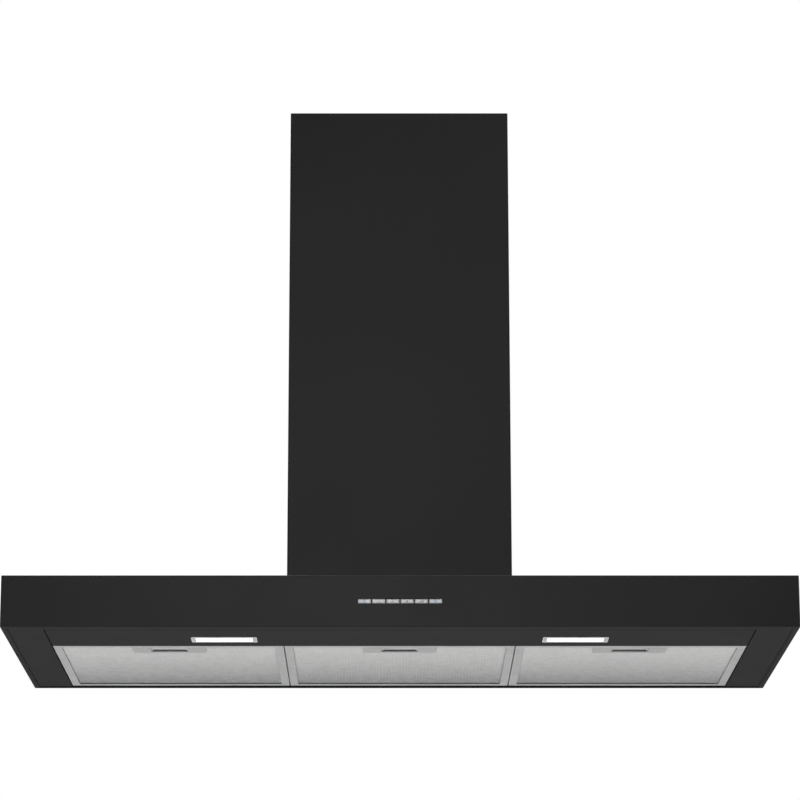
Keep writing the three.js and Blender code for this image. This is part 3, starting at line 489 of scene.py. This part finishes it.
finishes = {  # one for each slot in the record
    "canopy_paint": powderCoat("satin black powder coat, canopy", canopyPaint),
    "underside_paint": powderCoat("satin black powder coat, underside", shadedUndersidePaint),
    "chimney_paint": powderCoat("satin black powder coat, chimney", chimneyPaint),
    "lamp_bezel": mouldedPlastic("satin silver ABS", bezelPlastic),
    "lamp_diffuser": glowingAcrylic("opal acrylic, lit", opalAcrylic),
    "white_plastic": mouldedPlastic("white moulded ABS", whitePlastic),
    "black_plastic": mouldedPlastic("black glass-filled nylon", blackPlastic),
    "circuit_board": printedBoard("green epoxy circuit board", greenBoard),
    "transformer_core": stackedSheets("varnished silicon steel", coreSheets),
    "galvanised_steel": spangledZinc("hot-dip galvanised steel", galvanised),
    "motor_case": grainedMetal("die-cast aluminium, motor", castMotor),
    "bright_steel": grainedMetal("bright zinc-plated steel", brightBar),
    "loom_sleeve": braidedSleeve("braided polyester sleeve", loomBraid),
    "filter_aluminium": grainedMetal("mill-finish aluminium, frame", filterAluminium),
    "mesh_aluminium": expandedAluminium("expanded aluminium mesh", meshStrands),
    "handle_aluminium": grainedMetal("satin aluminium, handle", handleAluminium),
    "latch_steel": grainedMetal("zinc-plated latch steel", latchZinc),
    "spring_steel": grainedMetal("drawn spring wire", springWire),
    "button_cap": mouldedPlastic("silver painted ABS", keyPlastic),
}
meshBacking = packedMesh("expanded aluminium mesh, deeper layers", meshCore)
endCapFinish = mouldedPlastic("textured silver ABS", endCapPlastic)
inkFinish = mouldedPlastic("grey pad-printed ink", iconInk)
blueInkFinish = mouldedPlastic("blue pad-printed ink", blueInk)

for row in frame["record"]["subparts"]:
    mesh = frame["nodes"][row["node"]].data
    mesh.materials.clear()
    mesh.materials.append(finishes[row["material_slot"]])
canopyMesh = frame["nodes"]["canopy_shell"].data
canopyMesh.materials.append(finishes["underside_paint"])
for face in canopyMesh.polygons:  # the lip's down-facing faces get the underside's copy of the paint, whose darker colour is painted shade
    if face.normal.z < -0.9 and face.center.z < 1 * mm:
        face.material_index = 1
print("materials made:", len(bpy.data.materials))


# Pieces: each starts as a bmesh in place, in metres
def addPiece(name, shape, finish, body, smooth=False):
    bmesh.ops.recalc_face_normals(shape, faces=shape.faces)
    for face in shape.faces:
        face.smooth = smooth
    mesh = bpy.data.meshes.new(name)
    shape.to_mesh(mesh)
    shape.free()
    mesh.materials.append(finish)
    piece = bpy.data.objects.new(name, mesh)
    bpy.context.scene.collection.objects.link(piece)
    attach(piece, body)
    return piece


def addPrism(shape, outline, low, high):  # a closed prism on an outline of (x, y), from low to high
    bottom = [shape.verts.new((x, y, low)) for x, y in outline]
    top = [shape.verts.new((x, y, high)) for x, y in outline]
    shape.faces.new(bottom[::-1])
    shape.faces.new(top)
    for i in range(len(outline)):
        j = (i + 1) % len(outline)
        shape.faces.new((bottom[i], bottom[j], top[j], top[i]))


def roundedOutline(low, high, radius, steps=4):
    points = []
    corners = ((high[0], low[1], -90), (high[0], high[1], 0), (low[0], high[1], 90), (low[0], low[1], 180))
    for x, y, start in corners:
        centreX = x - radius if x == high[0] else x + radius
        centreY = y - radius if y == high[1] else y + radius
        for step in range(steps + 1):
            angle = math.radians(start + 90 * step / steps)
            points.append((centreX + radius * math.cos(angle), centreY + radius * math.sin(angle)))
    return points


def addLayers(shape, rings):  # skins a stack of rings with the same number of points, and closes both ends
    made = [[shape.verts.new(p) for p in ring] for ring in rings]
    for lower, upper in zip(made, made[1:]):
        for i in range(len(lower)):
            j = (i + 1) % len(lower)
            shape.faces.new((lower[i], lower[j], upper[j], upper[i]))
    shape.faces.new(made[0][::-1])
    shape.faces.new(made[-1])


# Filter mesh: real strands of expanded foil over the deeper layers
strands = {  # mm
    "cellLong": 5.0,  # along the hood
    "rowStep": 3.6,
    "width": 0.9,
    "thick": 0.7,
    "depthOfCore": 1.8,  # from the mesh's lower face to the backing
    "hiddenEdge": 10.0,  # how far the strands stop inside the frame's band
    "overHandle": 4.0,  # how far they reach over the handle plate
    "behindHandle": 0.5,  # and how far behind it the notch ends
}


def strandRow(shape, xStart, xEnd, y, z, phase):
    half = strands["cellLong"] / 2 * mm
    swing = (strands["rowStep"] - strands["width"]) / 2 * mm
    first = math.ceil(xStart / half)
    last = math.floor(xEnd / half)
    if last - first < 2:
        return
    wide, thick = strands["width"] / 2 * mm, strands["thick"] * mm
    previous = None
    for i in range(first, last + 1):
        middle = y + (swing if (i + phase) % 2 else -swing)
        section = [shape.verts.new((i * half, middle + dy, z + dz))
                   for dy, dz in ((-wide, thick * 0.35), (wide, 0.0), (wide * 0.6, thick))]  # tilted strand
        if previous:
            for k in range(3):
                shape.faces.new((previous[k], previous[(k + 1) % 3], section[(k + 1) % 3], section[k]))
        else:
            shape.faces.new(section)
        previous = section
    shape.faces.new(previous[::-1])


def filterMesh(place):
    low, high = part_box("filter_mesh_" + place)
    handleLow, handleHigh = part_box("handle_plate_" + place)
    edge = strands["hiddenEdge"] * mm
    notchLeft = handleLow.x + strands["overHandle"] * mm
    notchRight = handleHigh.x - strands["overHandle"] * mm
    notchRear = handleHigh.y + strands["behindHandle"] * mm
    shape = bmesh.new()
    row, y = 0, low.y + edge
    while y < high.y - edge:
        spans = [(low.x + edge, high.x - edge)]
        if y < notchRear + strands["rowStep"] * mm / 2:
            spans = [(low.x + edge, notchLeft), (notchRight, high.x - edge)]
        for xStart, xEnd in spans:
            strandRow(shape, xStart, xEnd, y, low.z, row % 2)
        row += 1
        y += strands["rowStep"] * mm
    body = "filter_" + place
    piece = addPiece("expandedMesh_" + place, shape, finishes["mesh_aluminium"], body)
    core = bmesh.new()
    outline = [(low.x, low.y), (notchLeft, low.y), (notchLeft, notchRear), (notchRight, notchRear),
               (notchRight, low.y), (high.x, low.y), (high.x, high.y), (low.x, high.y)]
    addPrism(core, outline, low.z + strands["depthOfCore"] * mm, high.z)
    addPiece("meshLayers_" + place, core, meshBacking, body)
    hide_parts("filter_mesh_" + place)


for place in places:
    filterMesh(place)
print("filter mesh woven")

# Lamps: a softly crowned diffuser, with a ribbed grip plate on each end of the bezel
lamp = {  # mm
    "crown": 0.35,  # how far the diffuser bulges
    "ribs": 5,
    "ribDepth": 0.15,
    "plateProud": 0.2,
    "plateSunk": 0.3,  # into the bezel
    "plateLength": 5.4,
    "plateInset": 1.2,
}


def crownedPanel(shape, low, high, faceLow, crown, columns=10, rows=4):  # bulges downwards in the middle
    grid = []
    for j in range(rows + 1):
        line = []
        for i in range(columns + 1):
            u, v = i / columns, j / rows
            fall = (1 - (2 * u - 1) ** 4) * (1 - (2 * v - 1) ** 4)
            line.append(shape.verts.new((low.x + (high.x - low.x) * u, low.y + (high.y - low.y) * v,
                                         faceLow - crown * fall)))
        grid.append(line)
    for j in range(rows):
        for i in range(columns):
            shape.faces.new((grid[j][i], grid[j][i + 1], grid[j + 1][i + 1], grid[j + 1][i]))
    rim = grid[0] + [line[-1] for line in grid[1:]] + grid[-1][-2::-1] + [line[0] for line in grid[-2:0:-1]]
    roof = [shape.verts.new((v.co.x, v.co.y, high.z)) for v in rim]
    for i in range(len(rim)):
        j = (i + 1) % len(rim)
        shape.faces.new((rim[i], rim[j], roof[j], roof[i]))
    shape.faces.new(roof[::-1])


def ribbedPlate(xStart, length, yLow, yHigh, face):  # the ribs run front to back, proud of the bezel
    shape = bmesh.new()
    step = length / lamp["ribs"]
    crest = face - lamp["plateProud"] * mm
    groove = crest + lamp["ribDepth"] * mm
    back = face + lamp["plateSunk"] * mm
    profile = []
    for rib in range(lamp["ribs"]):
        start = xStart + rib * step
        profile += [(start, crest), (start + step * 0.5, crest)]
        profile += [(start + step * 0.6, groove), (start + step * 0.9, groove)]
    profile += [(xStart + length, crest), (xStart + length, back), (xStart, back)]
    near = [shape.verts.new((px, yLow, pz)) for px, pz in profile]
    far = [shape.verts.new((px, yHigh, pz)) for px, pz in profile]
    shape.faces.new(near)
    shape.faces.new(far[::-1])
    for i in range(len(profile)):
        j = (i + 1) % len(profile)
        shape.faces.new((near[i], near[j], far[j], far[i]))
    return shape


for side in sides:
    low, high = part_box("lamp_lens_" + side)
    diffuser = bmesh.new()
    crownedPanel(diffuser, low, high, low.z, lamp["crown"] * mm)
    piece = addPiece("lampDiffuser_" + side, diffuser, finishes["lamp_diffuser"], "canopy",
                     True)
    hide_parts("lamp_lens_" + side)
    bezelLow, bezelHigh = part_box("lamp_housing_" + side)
    inset, length = lamp["plateInset"] * mm, lamp["plateLength"] * mm
    for end, x in (("Left", bezelLow.x + inset), ("Right", bezelHigh.x - inset - length)):
        plate = ribbedPlate(x, length, low.y, high.y, bezelLow.z)
        addPiece("lampGrip%s_%s" % (end, side), plate, endCapFinish, "canopy")
print("lamps made")

# Push buttons: a crowned cap with a stem, and a printed icon
button = {  # mm
    "corner": 0.9,
    "capDepth": 7.0,
    "crown": ((0.0, 1.3), (0.25, 0.75), (0.7, 0.35), (1.3, 0.12), (2.1, 0.0)),  # inset and depth of each ring
    "stem": (4.0, 3.0),
    "inkWidth": 0.75,
    "inkHigh": 0.06,
    "inkSunk": 0.2,
    "iconSize": 5.2,
}


def arc(centre, radius, start, end, steps=10):
    turns = [math.radians(start + (end - start) * i / steps) for i in range(steps + 1)]
    return [(centre[0] + radius * math.cos(turn), centre[1] + radius * math.sin(turn)) for turn in turns]


fanBars = [[(-0.45 + 0.3 * i, -0.35), (-0.45 + 0.3 * i, -0.1 + 0.17 * i)] for i in range(4)]
icons = {  # strokes on a square from -0.5 to 0.5
    1: [arc((0, 0.12), 0.3, -60, 240), [(-0.14, -0.24), (0.14, -0.24)], [(-0.1, -0.42), (0.1, -0.42)]],
    2: fanBars[:1] + [[(0.0, -0.35), (0.3, -0.35)]],
    3: fanBars[:2] + [[(0.15, -0.35), (0.4, -0.35)]],
    4: fanBars[:3],
    5: fanBars,
    6: [arc((0, 0), 0.4, 120, 420), [(0, 0.1), (0, 0.5)]],
}


def buttonCap(index):
    low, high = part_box("button_%d" % index)
    capBack = low.y + button["capDepth"] * mm
    corner = button["corner"] * mm
    shape = bmesh.new()
    rings = []
    layers = [(capBack, 0.0)] + [(low.y + depth * mm, inset * mm) for inset, depth in button["crown"]]
    for y, inset in layers:
        ring = roundedOutline((low.x + inset, low.z + inset), (high.x - inset, high.z - inset),
                              max(corner - inset * 0.5, 0.2 * mm))
        rings.append([(px, y, pz) for px, pz in ring])
    addLayers(shape, rings)
    middle = (low + high) / 2
    halfWide, halfHigh = (size / 2 * mm for size in button["stem"])
    stem = [(middle.x + halfWide * sideX, middle.z + halfHigh * sideZ)
            for sideX, sideZ in ((-1, -1), (1, -1), (1, 1), (-1, 1))]
    stemFront = capBack - 1 * mm  # inside the cap
    addLayers(shape, [[(px, y, pz) for px, pz in stem] for y in (stemFront, high.y)])
    piece = addPiece("buttonCap_%d" % index, shape, finishes["button_cap"], "key_%d" % index)
    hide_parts("button_%d" % index)

    ink = bmesh.new()
    half = button["inkWidth"] / 2 * mm
    size = button["iconSize"] * mm
    front, back = low.y - button["inkHigh"] * mm, low.y + button["inkSunk"] * mm
    for stroke in icons[index]:
        points = [Vector((middle.x + px * size, middle.z + pz * size)) for px, pz in stroke]
        rails = []
        for i, point in enumerate(points):
            ahead = points[min(i + 1, len(points) - 1)] - points[max(i - 1, 0)]
            across = Vector((-ahead.y, ahead.x)).normalized() * half
            rails.append((point + across, point - across))
        addLayers(ink, [[(a.x, front, a.y), (b.x, front, b.y), (b.x, back, b.y), (a.x, back, a.y)]
                        for a, b in rails])
    finish = blueInkFinish if index in (1, 6) else inkFinish
    addPiece("buttonIcon_%d" % index, ink, finish, "key_%d" % index)


for index in range(1, 7):
    buttonCap(index)
print("buttons made")

# Screws: a domed head with a six-lobed recess
screw = {  # mm
    "radius": 4.0,
    "smallRadius": 3.2,
    "high": 1.9,
    "lobe": 0.16,  # how much the recess's six lobes swing, as a share of its radius
    "sides": 24,
    "boxInset": (14, 12),  # from the blower box's sides, and from its top and bottom
    "collarPitch": 156,
    "collarFlange": 2,
    "coverInset": 7,
}


def screwHead(name, centre, normal, body, radius=screw["radius"]):
    high = screw["high"] * radius / screw["radius"] * mm
    shape = bmesh.new()
    levels = [(1.0, 0.0, 0), (1.0, 0.25, 0), (0.93, 0.6, 0), (0.75, 0.88, 0), (0.56, 1.0, 0),
              (0.42, 1.0, 1), (0.38, 0.45, 1)]  # share of the radius and the height, and 1 where lobed
    rings = []
    for share, level, lobed in levels:
        ring = []
        for i in range(screw["sides"]):
            angle = 2 * math.pi * i / screw["sides"]
            reach = radius * mm * share * (1 + screw["lobe"] * math.cos(6 * angle) * lobed)
            ring.append((reach * math.cos(angle), reach * math.sin(angle), high * level))
        rings.append(ring)
    addLayers(shape, rings)
    turn = Vector(normal).to_track_quat("Z", "Y").to_matrix().to_4x4()
    bmesh.ops.transform(shape, matrix=Matrix.Translation(centre) @ turn, verts=shape.verts)
    return addPiece(name, shape, finishes["bright_steel"], body, True)


boxLow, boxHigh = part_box("blower_box")
collarLow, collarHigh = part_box("outlet_collar")
count = 0
insetX, insetZ = (inset * mm for inset in screw["boxInset"])
for x in (boxLow.x + insetX, 0.0, boxHigh.x - insetX):
    for z in (boxLow.z + insetZ, boxHigh.z - insetZ):
        count += 1
        screwHead("boxScrew_%d" % count, (x, boxHigh.y, z), (0, 1, 0), "canopy")
collarMiddle = (collarLow + collarHigh) / 2
reach = screw["collarPitch"] / 2 * mm
for x in (-reach, reach):
    for y in (-reach, reach):
        count += 1
        centre = (collarMiddle.x + x, collarMiddle.y + y, collarLow.z + screw["collarFlange"] * mm)
        screwHead("collarScrew_%d" % count, centre, (0, 0, 1), "canopy", screw["smallRadius"])
coverLow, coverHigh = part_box("electronics_cover")
inset = screw["coverInset"] * mm
for x in (coverLow.x + inset, coverHigh.x - inset):
    for y in (coverLow.y + inset, coverHigh.y - inset):
        count += 1
        screwHead("coverScrew_%d" % count, (x, y, coverLow.z), (0, 0, -1), "canopy", screw["smallRadius"])
print("screws made:", count)

# Filter handles: a pressed plate with a recess, over the pocket that guides the latch
handle = {  # mm
    "cornerRadius": 7.0,
    "edge": 0.3,  # rounding of the plate's edges
    "wall": 1.0,
    "recessWidth": 57.0,
    "recessRim": 3.5,
    "recessDepth": 32.5,
    "recessCorner": 2.5,
    "pocketWidth": 64.0,
    "tongueWidth": 30.8,
    "tongueRoom": 1.85,  # from the latch's lower face to the edge over its tongue
    "stopWidth": 8.0,
    "stopFromFront": 22.0,
    "stopThick": 1.2,
    "stopRoom": 1.8,
}


def box(shape, xSpan, ySpan, zSpan):
    (left, right), (front, rear) = xSpan, ySpan
    addPrism(shape, [(left, front), (right, front), (right, rear), (left, rear)], *zSpan)


def handlePlate(place):
    low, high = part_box("handle_plate_" + place)
    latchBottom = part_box("latch_" + place)[0].z
    x = (low.x + high.x) / 2
    wall, edge = handle["wall"] * mm, handle["edge"] * mm
    shape = bmesh.new()
    half = handle["recessWidth"] / 2 * mm
    recessFront = low.y + handle["recessRim"] * mm
    recessRear = recessFront + handle["recessDepth"] * mm

    def ring(start, end, radius, grow, z):
        points = roundedOutline((start[0] - grow, start[1] - grow), (end[0] + grow, end[1] + grow),
                                radius * mm + grow, 6)
        return [shape.verts.new((px, py, z)) for px, py in points]

    outer = ((low.x, low.y), (high.x, high.y), handle["cornerRadius"])
    recess = ((x - half, recessFront), (x + half, recessRear), handle["recessCorner"])
    rings = [ring(*outer, -edge, low.z), ring(*outer, 0, low.z + edge), ring(*outer, 0, low.z + wall),
             ring(*recess, 0, low.z + wall), ring(*recess, 0, low.z + edge), ring(*recess, edge, low.z)]
    for first, second in zip(rings, rings[1:] + rings[:1]):
        for i in range(len(first)):
            j = (i + 1) % len(first)
            shape.faces.new((first[i], first[j], second[j], second[i]))

    pocket = handle["pocketWidth"] / 2 * mm
    tongue = handle["tongueWidth"] / 2 * mm
    floor, roof = low.z + wall, high.z
    box(shape, (x - pocket, x - pocket + wall), (low.y, high.y), (floor, roof))
    box(shape, (x + pocket - wall, x + pocket), (low.y, high.y), (floor, roof))
    box(shape, (x - pocket + wall, x + pocket - wall), (high.y - wall, high.y), (floor, roof))
    box(shape, (x - pocket + wall, x + pocket - wall), (low.y + wall, high.y - wall), (roof - wall, roof))
    box(shape, (x - pocket + wall, x - tongue), (low.y, low.y + wall), (floor, roof))
    box(shape, (x + tongue, x + pocket - wall), (low.y, low.y + wall), (floor, roof))
    box(shape, (x - tongue, x + tongue), (low.y, low.y + wall),
        (latchBottom + handle["tongueRoom"] * mm, roof))
    stop = low.y + handle["stopFromFront"] * mm
    stopHalf = handle["stopWidth"] / 2 * mm
    box(shape, (x - stopHalf, x + stopHalf), (stop, stop + handle["stopThick"] * mm),
        (latchBottom + handle["stopRoom"] * mm, roof - wall))
    piece = addPiece("filterHandle_" + place, shape, finishes["handle_aluminium"], "filter_" + place)
    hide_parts("handle_plate_" + place)


# Latch springs: a coil of round wire, each with a mesh of its own
coil = {"turns": 6, "stepsPerTurn": 14, "sides": 8, "wire": 0.35, "travel": 6.5}  # wire's radius in mm


def latchSpring(place):
    node = "latch_spring_" + place
    low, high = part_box(node)
    wire = coil["wire"] * mm
    radius = (high.x - low.x) / 2 - wire
    centre = (low + high) / 2
    near, far = low.y + wire, high.y - wire
    shape = bmesh.new()
    rings = []
    steps = coil["turns"] * coil["stepsPerTurn"]
    for step in range(steps + 1):
        angle = 2 * math.pi * coil["turns"] * step / steps
        outward = Vector((math.cos(angle), 0, math.sin(angle)))
        middle = Vector((centre.x, near + (far - near) * step / steps, centre.z)) + outward * radius
        rings.append([middle + (outward * math.cos(turn) + Vector((0, 1, 0)) * math.sin(turn)) * wire
                      for turn in (2 * math.pi * k / coil["sides"] for k in range(coil["sides"]))])
    addLayers(shape, rings)
    piece = addPiece("latchCoil_" + place, shape, finishes["spring_steel"], "filter_" + place,
                     True)
    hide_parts(node)
    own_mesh(piece)


# Filter frames: rivets at the corners hold the mitred channel together
rivet = {"radius": 1.6, "high": 0.5, "fromEdge": 6.5, "sides": 16}  # mm


def frameRivets(place):
    low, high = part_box("filter_frame_" + place)
    inset, radius, height = (rivet[key] * mm for key in ("fromEdge", "radius", "high"))
    turns = [2 * math.pi * i / rivet["sides"] for i in range(rivet["sides"])]
    shape = bmesh.new()
    for x in (low.x + inset, high.x - inset):
        for y in (low.y + inset, high.y - inset):
            rings = []
            for share, level in ((1.0, -0.2), (1.0, 0.15), (0.85, 0.6), (0.55, 0.9), (0.2, 1.0)):
                rings.append([(x + radius * share * math.cos(turn), y + radius * share * math.sin(turn),
                               low.z - height * level) for turn in turns])
            addLayers(shape, rings)
    addPiece("frameRivets_" + place, shape, finishes["handle_aluminium"], "filter_" + place,
             True)


for place in places:
    handlePlate(place)
    latchSpring(place)
    frameRivets(place)
print("handles, springs and rivets made")
